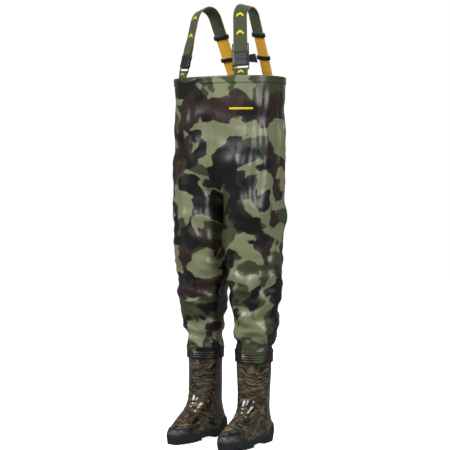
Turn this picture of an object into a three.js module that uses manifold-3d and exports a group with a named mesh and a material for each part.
// Chest waders: a camouflage PVC bib with two legs welded to rubber boots, held up by two elastic
// shoulder straps with side-release buckles. Millimetres, +Z up, front towards -Y, wearer's left +X.
import * as THREE from 'three';
import { mergeGeometries, mergeVertices } from 'three/addons/utils/BufferGeometryUtils.js';
import Module from 'manifold-3d';

// ---- Overall sizes ----
const totalHeight = 1607; // floor to the top of the shoulder straps
const rimHeight = 1340; // top edge of the bib
const hipTop = 1060; // where the bib starts to divide into legs
const crotchHeight = 920;
const thighTop = 880;
const kneeTop = 645;
const kneeBottom = 480;
const ankleTop = 402;
const cuffTop = 345;
const cuffBottom = 302;

// ---- Cloth ----
const clothWall = 3; // stands in for a 0.7 mm coated cloth with its folds
const zoneGap = 0.6; // between one cloth zone and the next
const seamShare = 0.001; // share of a panel's width left open at each seam
const torsoPower = 2.3; // squareness of the bib's oval
const hipFullness = 0.13; // share added to the depth halfway down the hips
const tapeWidth = 14;
const tapeThickness = 1.2;
const hemHeight = 26;
const fitGap = 0.4; // between pieces that lie on each other

// ---- Webbing, buckles and sliders ----
const webWidth = 50;
const webThickness = 1.6;
const layerOffset = 1.2; // from the strap's middle to each of its two layers
const barOffset = 4.2; // the same where the layers pass either side of a bar
const frontStrapX = 130;
const backStrapX = 75.2;
const leanRatio = 2.7; // the straps lean inwards this many times more in front than behind
const shoulderRadius = 60;
const hemRadius = 150; // curve of the rim where the back straps are sewn
const shoulderY = -20;
const shoulderCant = 8.5; // the tilted strap's edge stands this much above its middle
const tabInset = 6.5; // from the bib's inner face to the middle of the front tab
const tabDepth = 28; // how far the front tab reaches down inside the bib
const anchorDepth = 38;
const pivotRise = 6; // strap fold line above the bib's rim at the back
const slotClearance = 1.7; // beside each edge of the webbing in a buckle's slot
const sideWall = 4.3; // of buckles and sliders, beside the slot
const slotWidth = webWidth + 2 * slotClearance;
const hardwareWidth = slotWidth + 2 * sideWall;
const maleStart = 20; // along the front strap, above the rim
const mouthAt = 38;
const femaleLength = 46;
const femaleThickness = 13;
const cavityThickness = 8;
const cavityDepth = 37;
const ladderLength = 33;
const ladderThickness = 4;
const barLength = 4;
const prongThickness = 4;
const prongLength = 33;
const prongWidth = 9;
const prongInset = 14; // from the buckle's side to the prong's root
const guideWidth = 12;
const guideThickness = 3;
const guideSetback = 6; // the guide is this much shorter than the prongs
const sliderLength = 16;
const sliderWall = 3;
const sliderSlot = 6;
const upperSliderHeight = 1500;
const crossHeight = 1420;
const crossBandHeight = 38;

// ---- Boots ----
const bootSpread = 110; // shaft centre from the middle
const toeOut = THREE.MathUtils.degToRad(4);
const bootWall = 4;
const bootTop = 330;
const bootBottom = 16;
const lugDepth = 9;
const bumperWall = 4.5;
const bumperHeights = { side: 34, toe: 58, heel: 70 };
const insoleThickness = 4.5;
const lugPitch = 23;
const lugLength = 13;
const lugGroove = 9;
const lugLead = 1; // the first row starts this far ahead of the toe
const lugOffset = 3; // of the middle groove, towards the big toe

// ---- Outlines: height, then the half sizes there ----
const torsoStations = [
  [crotchHeight, 230, 155],
  [hipTop, 222, 147],
  [1200, 219, 144],
  [rimHeight, 220, 145],
];
const legStations = [ // height, centre from the middle, half width, half depth
  [cuffTop, 110.5, 70.6, 70.6],
  [ankleTop, 112.5, 75, 75],
  [kneeBottom, 114.5, 85, 87],
  [565, 115, 97, 99],
  [kneeTop, 115.5, 104, 106],
  [780, 117, 108.5, 120],
  [crotchHeight, 117.5, 111, 134],
];
const bootStations = [ // height, reach to the toe, reach to the heel, half width, squareness
  [bootBottom, 206, 92, 45, 3],
  [36, 208, 96, 49, 2.9],
  [60, 192, 95, 49, 2.7],
  [80, 160, 90, 47, 2.5],
  [104, 120, 82, 47, 2.3],
  [134, 88, 74, 50, 2.1],
  [175, 71, 68, 57, 2],
  [235, 66, 66, 61, 2],
  [bootTop, 66, 66, 65, 2],
];

const wasm = await Module();
wasm.setup();

const finish = (color, roughness) => new THREE.MeshStandardMaterial({ color, roughness, metalness: 0 });
const camoCloth = finish(0x6f7352, 0.35);
const crumpledCloth = finish(0x5c6044, 0.4);
const tapeCloth = finish(0x4b4f38, 0.4);
const bootRubber = finish(0x5a4a35, 0.22);
const soleRubber = finish(0x202224, 0.7);
const foam = finish(0x8a8d86, 0.9);
const greenWeb = finish(0x3d4a2c, 0.85);
const blackPlastic = finish(0x1b1c1d, 0.45);

// ---- Mesh helpers ----
const signedPower = (value, power) => Math.sign(value) * Math.abs(value) ** power;
const mix = THREE.MathUtils.lerp;
const smooth = (value, low, high) => THREE.MathUtils.smoothstep(value, low, high);

function station(table, height) {
  let i = 0;
  while (i < table.length - 2 && height > table[i + 1][0]) i += 1;
  const t = THREE.MathUtils.clamp((height - table[i][0]) / (table[i + 1][0] - table[i][0]), 0, 1);
  return table[i].slice(1).map((value, k) => mix(value, table[i + 1][k + 1], t));
}

// A closed body from its points and triangles, turned so that its faces point out.
function closedBody(positions, index) {
  const geometry = new THREE.BufferGeometry();
  geometry.setAttribute('position', new THREE.Float32BufferAttribute(positions, 3));
  const corner = (k) => new THREE.Vector3().fromArray(positions, 3 * index[k]);
  let volume = 0;
  for (let k = 0; k < index.length; k += 3) volume += corner(k).dot(corner(k + 1).cross(corner(k + 2)));
  geometry.setIndex(volume > 0 ? index : index.slice().reverse());
  geometry.computeVertexNormals();
  return geometry;
}

// A sheet between two faces, each a function of (u, v) that gives a point.
function sheet(outer, inner, columns, rows) {
  const positions = [];
  for (const face of [outer, inner]) {
    for (let j = 0; j <= rows; j += 1) {
      for (let i = 0; i <= columns; i += 1) positions.push(...face(i / columns, j / rows));
    }
  }
  const at = (face, i, j) => (face * (rows + 1) + j) * (columns + 1) + i;
  const index = [];
  const quad = (a, b, c, d) => index.push(a, b, c, a, c, d);
  for (let j = 0; j < rows; j += 1) {
    for (let i = 0; i < columns; i += 1) {
      quad(at(0, i, j), at(0, i + 1, j), at(0, i + 1, j + 1), at(0, i, j + 1));
      quad(at(1, i, j), at(1, i, j + 1), at(1, i + 1, j + 1), at(1, i + 1, j));
    }
    quad(at(0, 0, j), at(0, 0, j + 1), at(1, 0, j + 1), at(1, 0, j));
    quad(at(0, columns, j), at(1, columns, j), at(1, columns, j + 1), at(0, columns, j + 1));
  }
  for (let i = 0; i < columns; i += 1) {
    quad(at(0, i, 0), at(1, i, 0), at(1, i + 1, 0), at(0, i + 1, 0));
    quad(at(0, i, rows), at(0, i + 1, rows), at(1, i + 1, rows), at(1, i, rows));
  }
  return closedBody(positions, index);
}

// A body through rings of points. The ends are closed with fans, or joined to each other.
function loft(rings, joined = false) {
  const count = rings[0].length;
  const positions = rings.flat(2);
  const index = [];
  const spans = joined ? rings.length : rings.length - 1;
  for (let j = 0; j < spans; j += 1) {
    const next = (j + 1) % rings.length;
    for (let i = 0; i < count; i += 1) {
      const right = (i + 1) % count;
      const corners = [j * count + i, j * count + right, next * count + right, next * count + i];
      index.push(corners[0], corners[1], corners[2], corners[0], corners[2], corners[3]);
    }
  }
  if (!joined) {
    for (const [ring, turn] of [[0, 1], [rings.length - 1, 0]]) {
      const centre = positions.length / 3;
      const sum = rings[ring].reduce((total, point) => total.map((value, k) => value + point[k]), [0, 0, 0]);
      positions.push(...sum.map((value) => value / count));
      for (let i = 0; i < count; i += 1) {
        const pair = [ring * count + i, ring * count + ((i + 1) % count)];
        index.push(centre, pair[turn], pair[1 - turn]);
      }
    }
  }
  return closedBody(positions, index);
}

function toManifold(geometry) {
  const bare = geometry.clone();
  bare.deleteAttribute('normal');
  bare.deleteAttribute('uv');
  const merged = mergeVertices(bare, 1e-4);
  return new wasm.Manifold(new wasm.Mesh({
    numProp: 3,
    vertProperties: new Float32Array(merged.attributes.position.array),
    triVerts: new Uint32Array(merged.index.array),
  }));
}

function fromManifold(body) {
  const mesh = body.getMesh();
  return closedBody(Array.from(mesh.vertProperties), Array.from(mesh.triVerts));
}

// A box from its low and high corners.
function block(low, high) {
  const size = high.map((value, k) => value - low[k]);
  return new THREE.BoxGeometry(...size).translate(...low.map((value, k) => value + size[k] / 2));
}

function part(group, name, geometry, material) {
  const mesh = new THREE.Mesh(geometry, material);
  mesh.name = name;
  group.add(mesh);
  return mesh;
}

// ---- Cloth surfaces of the wearer's left half ----
// u runs from the side seam (0) to the middle of the body or the inseam (1); face is -1 at the
// front and +1 at the back; inset moves the surface inwards.
function torsoPoint(u, height, face, inset) {
  const [halfWidth, halfDepth] = station(torsoStations, height);
  const angle = (Math.PI / 2) * u;
  const x = (halfWidth - inset) * signedPower(Math.cos(angle), 2 / torsoPower);
  const y = face * (halfDepth - inset) * signedPower(Math.sin(angle), 2 / torsoPower);
  return [x, y, height];
}

function legPoint(u, height, face, inset) {
  const [centre, halfWidth, halfDepth] = station(legStations, height);
  const angle = Math.PI * u;
  const x = centre + (halfWidth - inset) * Math.cos(angle);
  return [x, face * (halfDepth - inset) * Math.sin(angle), height];
}

// The cloth between the bib and the leg: the oval divides along a quarter-round crotch seam.
function hipPoint(u, v, face, inset) {
  const turn = (Math.PI / 2) * v;
  const share = 1 - Math.cos(turn);
  const drop = mix(v, Math.sin(turn), u * u);
  const height = hipTop - (hipTop - crotchHeight) * drop;
  const torso = torsoPoint(u, height, face, inset);
  const leg = legPoint(u, crotchHeight, face, inset);
  const lift = inset * u * u * Math.sin(2 * turn);
  const fullness = 1 + hipFullness * Math.sin(2 * turn) * Math.sin(Math.PI * u) ** 2;
  return [mix(torso[0], leg[0], share), mix(torso[1], leg[1], share) * fullness, height + lift];
}

const within = (u) => mix(seamShare, 1 - seamShare, u);

function panel(surface, low, high, face, columns, rows) {
  const skin = (inset) => (u, v) => surface(within(u), mix(low + zoneGap / 2, high - zoneGap / 2, v), face, inset);
  return sheet(skin(0), skin(clothWall), columns, rows);
}

// One leg's whole turn of cloth between two heights.
function legBand(low, high, count, rows) {
  const ring = (height, inset) => Array.from({ length: count }, (_, i) => {
    const turn = (2 * i) / count;
    return turn <= 1 ? legPoint(turn, height, -1, inset) : legPoint(2 - turn, height, 1, inset);
  });
  const heights = Array.from({ length: rows + 1 }, (_, j) => mix(low + zoneGap / 2, high - zoneGap / 2, j / rows));
  return loft([
    ...heights.map((height) => ring(height, 0)),
    ...heights.reverse().map((height) => ring(height, clothWall)),
  ], true);
}

// The hip zone of one side, from the middle of the back round the side to the middle of the front.
function hipZone() {
  const split = 6 / 7; // share of the zone's rows above the crotch
  const skin = (inset) => (u, v) => {
    const around = 2 * u - 1;
    const face = around < 0 ? 1 : -1;
    const across = Math.min(Math.abs(around), 1 - seamShare);
    if (v <= split) {
      const point = hipPoint(across, v / split, face, inset);
      if (v === 0) point[2] = hipTop - zoneGap / 2;
      return point;
    }
    return legPoint(across, mix(crotchHeight, thighTop + zoneGap / 2, (v - split) / (1 - split)), face, inset);
  };
  return sheet(skin(0), skin(clothWall), 16, 7);
}

// ---- The strap's path: a front line, an arc over the shoulder and a back line ----
const depthAt = (x, height) => {
  const [halfWidth, halfDepth] = station(torsoStations, height);
  return halfDepth * (1 - (Math.abs(x) / halfWidth) ** torsoPower) ** (1 / torsoPower);
};
const wallTurn = (x, height) => {
  const [halfWidth, halfDepth] = station(torsoStations, height);
  const across = (x / halfWidth) ** (torsoPower - 1) / halfWidth;
  const along = (depthAt(x, height) / halfDepth) ** (torsoPower - 1) / halfDepth;
  return Math.atan2(across, along);
};
const shoulderCentre = [shoulderY, totalHeight - shoulderRadius - shoulderCant];
const frontBase = [-(depthAt(frontStrapX, rimHeight) - clothWall - tabInset), rimHeight];

function tangent(point, side) {
  const toCentre = [shoulderCentre[0] - point[0], shoulderCentre[1] - point[1]];
  const distance = Math.hypot(...toCentre);
  const heading = Math.atan2(toCentre[1], toCentre[0]) + side * Math.asin(shoulderRadius / distance);
  return { heading, length: Math.sqrt(distance ** 2 - shoulderRadius ** 2) };
}

// The straps lean inwards by just enough to reach their place at the back.
function strapCourse() {
  const sag = webWidth ** 2 / (8 * hemRadius); // a flat band stands off the curved bib by this much
  const hemFace = depthAt(backStrapX, rimHeight) + tapeThickness + fitGap;
  const backBase = [hemFace + fitGap + sag + webThickness / 2, rimHeight + pivotRise];
  const front = tangent(frontBase, 1);
  const back = tangent(backBase, -1);
  const arcLength = shoulderRadius * (front.heading - back.heading + Math.PI);
  const weighed = leanRatio * front.length + ((leanRatio + 1) / 2) * arcLength + back.length;
  const backSlope = (backStrapX - frontStrapX) / weighed;
  const frontSlope = leanRatio * backSlope;
  const arcX = frontStrapX + frontSlope * front.length;
  const total = front.length + arcLength + back.length;
  return { front, back, backBase, arcLength, arcX, total, frontSlope, backSlope };
}
const course = strapCourse();

// Place and axes of the strap at a distance along it: across, outward and along.
function strapFrame(s) {
  const { front, back, arcLength, arcX, backBase, total, frontSlope, backSlope } = course;
  const arc = THREE.MathUtils.clamp((s - front.length) / arcLength, 0, 1);
  const heading = mix(front.heading, back.heading - Math.PI, arc);
  const slope = mix(frontSlope, backSlope, arc);
  const along = new THREE.Vector3(slope, Math.cos(heading), Math.sin(heading)).normalize();
  const place = new THREE.Vector3();
  if (s < 0) {
    place.set(frontStrapX, frontBase[0], rimHeight + s); // inside the bib it runs straight down
  } else if (s <= front.length) {
    place.set(
      frontStrapX + frontSlope * s,
      frontBase[0] + Math.cos(front.heading) * s,
      frontBase[1] + Math.sin(front.heading) * s,
    );
  } else if (s < front.length + arcLength) {
    const out = heading + Math.PI / 2;
    place.set(
      arcX + ((frontSlope + slope) / 2) * arcLength * arc,
      shoulderCentre[0] + shoulderRadius * Math.cos(out),
      shoulderCentre[1] + shoulderRadius * Math.sin(out),
    );
  } else {
    const left = total - s;
    place.set(
      backStrapX - backSlope * left,
      backBase[0] + Math.cos(back.heading) * left,
      backBase[1] + Math.sin(back.heading) * left,
    );
  }
  const twist = mix(wallTurn(frontStrapX, rimHeight), wallTurn(backStrapX, rimHeight), arc);
  const across = new THREE.Vector3(-1, 0, 0).projectOnPlane(along).normalize().applyAxisAngle(along, twist);
  const outward = along.clone().cross(across);
  return { place, across, outward, along };
}

function strapPoint(s, out, acrossBy) {
  const { place, across, outward } = strapFrame(s);
  return place.clone().addScaledVector(outward, out).addScaledVector(across, acrossBy);
}

// A flat band along a list of places, each a distance along the strap and one outward from it.
function band(places) {
  const rings = places.map(([s, out], i) => {
    const before = places[Math.max(i - 1, 0)];
    const after = places[Math.min(i + 1, places.length - 1)];
    const { across } = strapFrame(s);
    const heading = strapPoint(after[0], after[1], 0).sub(strapPoint(before[0], before[1], 0));
    const normal = heading.normalize().cross(across).normalize();
    const middle = strapPoint(s, out, 0);
    return [[-1, -1], [1, -1], [1, 1], [-1, 1]].map(([side, face]) => middle.clone()
      .addScaledVector(across, (side * webWidth) / 2)
      .addScaledVector(normal, (face * webThickness) / 2)
      .toArray());
  });
  return loft(rings);
}

// A half turn of webbing round a bar.
function barTurn(s, steps, sign) {
  return Array.from({ length: steps + 1 }, (_, i) => {
    const angle = (Math.PI * i) / steps;
    return [s + sign * barOffset * Math.sin(angle), -barOffset * Math.cos(angle)];
  });
}

const between = (from, to, steps) => Array.from({ length: steps + 1 }, (_, i) => mix(from, to, i / steps));
const upperSliderAt = backStation(upperSliderHeight);
const crossAt = backStation(crossHeight);

function backStation(height) {
  return course.total - (height - course.backBase[1]) / Math.sin(course.back.heading);
}

const wrapBar = femaleLength + barOffset + webThickness / 2 + fitGap; // bar the strap turns round
const topBarAt = mouthAt + femaleLength + ladderLength - barLength / 2;

function shoulderStrapPlaces() {
  const { front, arcLength, total } = course;
  const closeBy = topBarAt + 32; // where the two layers lie together again
  const arcEnd = front.length + arcLength;
  const stretch = [closeBy, ...between(front.length, arcEnd, 12)];
  const returnLayer = [upperSliderAt + sliderLength / 2 + 3, arcEnd + 30, ...stretch.slice().reverse()];
  return [
    ...returnLayer.map((s) => [s, -layerOffset]),
    [topBarAt, -barOffset],
    ...barTurn(mouthAt + wrapBar, 6, -1),
    [topBarAt, barOffset],
    ...stretch.map((s) => [s, layerOffset]),
    [total, layerOffset],
  ];
}

function tabPlaces() {
  const turnAt = maleStart + barLength / 2;
  return [
    [-tabDepth, -layerOffset],
    [0, -layerOffset],
    ...barTurn(turnAt, 6, 1),
    [0, layerOffset],
    [-tabDepth, layerOffset],
  ];
}

// ---- Buckle pieces, each in its own frame: x across, y outward, z along the strap ----
function hollow(low, high, ...cuts) {
  return fromManifold(cuts.reduce(
    (body, [cutLow, cutHigh]) => body.subtract(toManifold(block(cutLow, cutHigh))),
    toManifold(block(low, high)),
  ));
}

const halfHardware = hardwareWidth / 2;
const halfSlot = slotWidth / 2;

function maleGeometry() {
  const slotEnd = mouthAt - barLength;
  const frame = toManifold(hollow(
    [-halfHardware, -ladderThickness / 2, maleStart],
    [halfHardware, ladderThickness / 2, mouthAt - fitGap],
    [[-halfSlot, -ladderThickness, maleStart + barLength], [halfSlot, ladderThickness, slotEnd]],
  ));
  const guide = block(
    [-guideWidth / 2, -guideThickness / 2, slotEnd],
    [guideWidth / 2, guideThickness / 2, mouthAt + prongLength - guideSetback],
  );
  return fromManifold(frame.add(toManifold(guide)));
}

// The prong springs from the male base, and its flank bulges out of the female's side.
const prongRoot = halfHardware - prongInset;
function prongGeometry() {
  const half = prongWidth / 2;
  const outline = new THREE.Shape();
  outline.moveTo(-half, fitGap);
  outline.lineTo(half, fitGap);
  outline.lineTo(half, prongLength * 0.3);
  outline.quadraticCurveTo(half + 8, prongLength * 0.55, half + 5, prongLength * 0.85);
  outline.quadraticCurveTo(half + 2, prongLength, half - 4, prongLength);
  outline.lineTo(-half + 2, prongLength * 0.8);
  outline.closePath();
  const settings = { depth: prongThickness, bevelEnabled: false, curveSegments: 4 };
  return new THREE.ExtrudeGeometry(outline, settings)
    .translate(0, 0, -prongThickness / 2)
    .rotateX(Math.PI / 2);
}

function femaleGeometry() {
  const half = femaleThickness / 2;
  const top = femaleLength + ladderLength;
  const body = toManifold(hollow(
    [-halfHardware, -half, 0],
    [halfHardware, half, femaleLength],
    [[-hardwareWidth, -cavityThickness / 2, -1], [hardwareWidth, cavityThickness / 2, cavityDepth]],
  ));
  const ladder = toManifold(hollow(
    [-halfHardware, -ladderThickness / 2, femaleLength - 1],
    [halfHardware, ladderThickness / 2, top],
    [[-halfSlot, -half, femaleLength], [halfSlot, half, wrapBar - barLength / 2]],
    [[-halfSlot, -half, wrapBar + barLength / 2], [halfSlot, half, top - barLength]],
  ));
  return fromManifold(body.add(ladder));
}

function sliderGeometry() {
  const half = sliderSlot / 2 + sliderWall;
  return hollow(
    [-halfHardware, -half, -sliderLength / 2],
    [halfHardware, half, sliderLength / 2],
    [[-halfSlot - 1, -sliderSlot / 2, -sliderLength], [halfSlot + 1, sliderSlot / 2, sliderLength]],
  );
}

function seat(mesh, s) {
  const { place, across, outward, along } = strapFrame(s);
  mesh.position.copy(place);
  mesh.quaternion.setFromRotationMatrix(new THREE.Matrix4().makeBasis(across, outward, along));
}

// ---- Boot surfaces, round the shaft's own axis with the toe towards -Y ----
const ringCount = 26;
const ballPlace = -128;
const waistPlace = -38;
const ballFlare = 0.09; // share added to the width at the ball of the foot
const waistHollow = 0.14; // share taken off at the waist of the foot
const toeLean = 9; // towards the big toe

function bootPoint(turn, height, inset) {
  const [toe, heel, halfWidth, squareness] = station(bootStations, height);
  const angle = 2 * Math.PI * turn;
  const reach = (Math.sin(angle) < 0 ? toe : heel) - inset;
  const y = reach * signedPower(Math.sin(angle), 2 / squareness);
  const low = 1 - smooth(height, 60, 125);
  const hump = (place, length) => Math.exp(-(((y - place) / length) ** 2));
  const flare = 1 + low * (ballFlare * hump(ballPlace, 55) - waistHollow * hump(waistPlace, 45));
  const inward = -toeLean * low * smooth(-y, 60, 210);
  return [(halfWidth * flare - inset) * signedPower(Math.cos(angle), 2 / squareness) + inward, y, height];
}

const bootRing = (height, inset) => Array.from({ length: ringCount }, (_, i) => (
  bootPoint(i / ringCount, height, inset)));

function bootUpperGeometry() {
  const heights = bootStations.map(([height]) => height);
  const floor = bootBottom + bootWall;
  return loft([
    bootRing(floor, bootWall),
    ...heights.slice(1).map((height) => bootRing(height, bootWall)),
    ...heights.slice().reverse().map((height) => bootRing(height, 0)),
  ]);
}

const bootLoft = (low, high, inset) => {
  const heights = bootStations.map(([height]) => height).filter((height) => height > low && height < high);
  return toManifold(loft([low, ...heights, high].map((height) => bootRing(height, inset))));
};

// The bumper's top line along the foot: high at the toe and the heel.
function bumperTop(y) {
  const toeRise = (bumperHeights.toe - bumperHeights.side) * smooth(-y, 105, 185);
  const heelRise = (bumperHeights.heel - bumperHeights.side) * smooth(y, 20, 75);
  return bumperHeights.side + toeRise + heelRise;
}

function lugBlocks() {
  const blocks = [];
  const [, toe, heel] = bootStations[0];
  const reach = bootSpread; // wider than the foot on either side
  for (let y = -toe - lugLead; y < heel; y += lugPitch) {
    const underWaist = y > waistPlace - 32 && y < waistPlace + 20;
    for (const low of underWaist ? [] : [-reach, lugGroove / 2]) {
      const high = low + reach - lugGroove / 2;
      blocks.push(block([low - lugOffset, y, 0], [high - lugOffset, y + lugLength, lugDepth + 1]));
    }
  }
  return toManifold(mergeGeometries(blocks));
}

// A tray that wraps the foot, with lugs under it cut to its outline.
function outsoleGeometry() {
  const outside = -(fitGap + bumperWall);
  const brim = bumperHeights.heel + 10;
  const [, toe, heel] = bootStations[1];
  const [toeEnd, heelEnd] = [-toe - 2 * bumperWall, heel + 2 * bumperWall];
  const corners = [new THREE.Vector2(heelEnd, 2 * brim), new THREE.Vector2(toeEnd, 2 * brim)];
  const slope = between(toeEnd, heelEnd, 20).map((y) => new THREE.Vector2(y, bumperTop(y)));
  const cutter = new THREE.ExtrudeGeometry(new THREE.Shape([...slope, ...corners]), {
    depth: 2 * bootSpread,
    bevelEnabled: false,
  })
    .translate(0, 0, -bootSpread)
    .applyMatrix4(new THREE.Matrix4().set(0, 0, 1, 0, 1, 0, 0, 0, 0, 1, 0, 0, 0, 0, 0, 1));
  const ring = bootRing(bootBottom, outside);
  const flat = (height) => ring.map(([x, y]) => [x, y, height]);
  const footprint = toManifold(loft([flat(0), flat(lugDepth + 1)]));
  const wrap = toManifold(loft([lugDepth, bootBottom, 36, 60, brim].map((height) => (
    height === lugDepth ? flat(height) : bootRing(height, outside)))));
  const tray = wrap.subtract(bootLoft(bootBottom - fitGap, brim + 5, -fitGap)).subtract(toManifold(cutter));
  return fromManifold(tray.add(lugBlocks().intersect(footprint)));
}

function insoleGeometry() {
  const low = bootBottom + bootWall + fitGap;
  const inset = bootWall + 1.2;
  const ring = bootRing(low, inset);
  return loft([ring, ring.map(([x, y]) => [x, y, low + insoleThickness])]);
}

// The band where the cloth leg is welded round the boot's shaft, with three sewn grooves.
function cuffGeometry() {
  const grooves = 3;
  const rows = [[cuffBottom, 2.4]];
  for (let i = 0; i < grooves; i += 1) {
    const middle = mix(cuffBottom, cuffTop, (i + 0.5) / grooves);
    rows.push([middle - 2.5, 3.6], [middle, 2.6], [middle + 2.5, 3.6]);
  }
  rows.push([cuffTop - zoneGap / 2, 3]);
  return loft([
    ...rows.map(([height, out]) => bootRing(height, -fitGap - out)),
    bootRing(cuffTop - zoneGap / 2, -fitGap),
    bootRing(bootTop, -fitGap),
    bootRing(cuffBottom, -fitGap),
  ], true);
}

// ---- One side of the waders ----
function side(name) {
  const group = new THREE.Group();
  for (const [label, face] of [['front', -1], ['back', 1]]) {
    part(group, `${name}_bib_${label}`, panel(torsoPoint, hipTop, rimHeight, face, 10, 4), camoCloth);
    part(group, `${name}_thigh_${label}`, panel(legPoint, kneeTop, thighTop, face, 8, 3), camoCloth);
    part(group, `${name}_shin_${label}`, panel(legPoint, ankleTop, kneeBottom, face, 8, 1), camoCloth);
  }
  part(group, `${name}_hip_folds`, hipZone(), crumpledCloth);
  part(group, `${name}_knee_folds`, legBand(kneeBottom, kneeTop, 18, 3), crumpledCloth);
  part(group, `${name}_ankle_folds`, legBand(cuffTop, ankleTop, 18, 2), crumpledCloth);

  part(group, `${name}_side_seam_tape`, seamTape((height, out) => {
    const [halfWidth] = station(torsoStations, height);
    return [[halfWidth + out, -tapeWidth / 2], [halfWidth + out, tapeWidth / 2]];
  }), tapeCloth);

  const boot = new THREE.Group();
  boot.position.set(bootSpread, 0, 0);
  boot.rotation.z = toeOut;
  part(boot, `${name}_boot_upper`, bootUpperGeometry(), bootRubber);
  part(boot, `${name}_outsole`, outsoleGeometry(), soleRubber);
  part(boot, `${name}_insole`, insoleGeometry(), foam);
  part(boot, `${name}_ankle_cuff`, cuffGeometry(), tapeCloth);
  group.add(boot);

  part(group, `${name}_front_tab`, band(tabPlaces()), greenWeb);
  part(group, `${name}_shoulder_strap`, band(shoulderStrapPlaces()), greenWeb);
  seat(part(group, `${name}_male_buckle`, maleGeometry(), blackPlastic), 0);
  seat(part(group, `${name}_female_buckle`, femaleGeometry(), blackPlastic), mouthAt);
  for (const [label, turn] of [['inner', 0], ['outer', Math.PI]]) {
    const holder = new THREE.Group();
    seat(holder, mouthAt);
    const prong = part(holder, `${name}_${label}_prong`, prongGeometry(), blackPlastic);
    prong.rotation.z = turn;
    prong.position.x = turn ? -prongRoot : prongRoot;
    group.add(holder);
  }
  seat(part(group, `${name}_upper_slider`, sliderGeometry(), blackPlastic), upperSliderAt);
  seat(part(group, `${name}_cross_slider`, sliderGeometry(), blackPlastic), crossAt);
  part(group, `${name}_back_anchor`, anchorGeometry(), greenWeb);
  return group;
}

// A flat strip up the bib; edges gives its two edges at a height and a distance off the cloth.
function seamTape(edges) {
  const rows = between(hipTop + zoneGap, rimHeight - hemHeight - fitGap, 4);
  const ring = (height) => {
    const [low, high] = [edges(height, fitGap), edges(height, fitGap + tapeThickness)];
    return [low[0], low[1], high[1], high[0]].map(([x, y]) => [x, y, height]);
  };
  return loft(rows.map(ring));
}

// The sewn end of the back strap, on the outside of the bib below the fold line.
function anchorGeometry() {
  const { across, outward, place } = strapFrame(course.total);
  const strapEdge = [-1, 1].map((side) => strapPoint(course.total, layerOffset - webThickness / 2, (side * webWidth) / 2));
  const foldEdge = Math.min(...strapEdge.map((corner) => corner.z));
  const flatAcross = new THREE.Vector3(across.x, across.y, 0).normalize();
  const flatOut = new THREE.Vector3(outward.x, outward.y, 0).normalize();
  const ring = (height) => [[-1, -1], [1, -1], [1, 1], [-1, 1]].map(([sideways, face]) => place.clone()
    .setZ(height)
    .addScaledVector(flatAcross, (sideways * webWidth) / 2)
    .addScaledVector(flatOut, (face * webThickness) / 2)
    .toArray());
  return loft([ring(rimHeight - anchorDepth), ring(foldEdge - fitGap)]);
}

// ---- Pieces on the middle of the waders ----
function hemGeometry() {
  const count = 40;
  const ring = (height, out) => Array.from({ length: count }, (_, i) => {
    const turn = (4 * i) / count;
    const quarter = Math.floor(turn);
    const face = quarter < 2 ? -1 : 1;
    const u = [turn, 2 - turn, turn - 2, 4 - turn][quarter];
    const [x, y] = torsoPoint(u, height, face, -out);
    return [quarter === 0 || quarter === 3 ? x : -x, y, height];
  });
  const [low, high] = [rimHeight - hemHeight, rimHeight];
  const near = fitGap;
  const far = fitGap + tapeThickness;
  return loft([ring(low, near), ring(low, far), ring(high, far), ring(high, near)], true);
}

function crossBandGeometry() {
  const { place, outward } = strapFrame(crossAt);
  const reach = place.x - halfHardware - 1;
  const up = new THREE.Vector3(0, -outward.z, outward.y).normalize();
  const out = new THREE.Vector3(0, outward.y, outward.z).normalize();
  const ring = (x) => [[-1, -1], [1, -1], [1, 1], [-1, 1]].map(([rise, face]) => new THREE.Vector3(x, place.y, place.z)
    .addScaledVector(up, (rise * crossBandHeight) / 2)
    .addScaledVector(out, face)
    .toArray());
  return loft([-reach, 0, reach].map(ring));
}

const waders = new THREE.Group();
waders.add(side('left'));
const right = side('right');
right.scale.x = -1;
waders.add(right);
part(waders, 'chest_hem', hemGeometry(), tapeCloth);
part(waders, 'cross_band', crossBandGeometry(), greenWeb);
for (const [label, face] of [['front', -1], ['back', 1]]) {
  part(waders, `centre_${label}_seam_tape`, seamTape((height, out) => {
    const [, halfDepth] = station(torsoStations, height);
    return [[-tapeWidth / 2, face * (halfDepth + out)], [tapeWidth / 2, face * (halfDepth + out)]];
  }), tapeCloth);
}

// The origin is on the floor, under the middle of the whole object.
const extent = new THREE.Box3().setFromObject(waders);
waders.position.y = -(extent.min.y + extent.max.y) / 2;

export default waders;
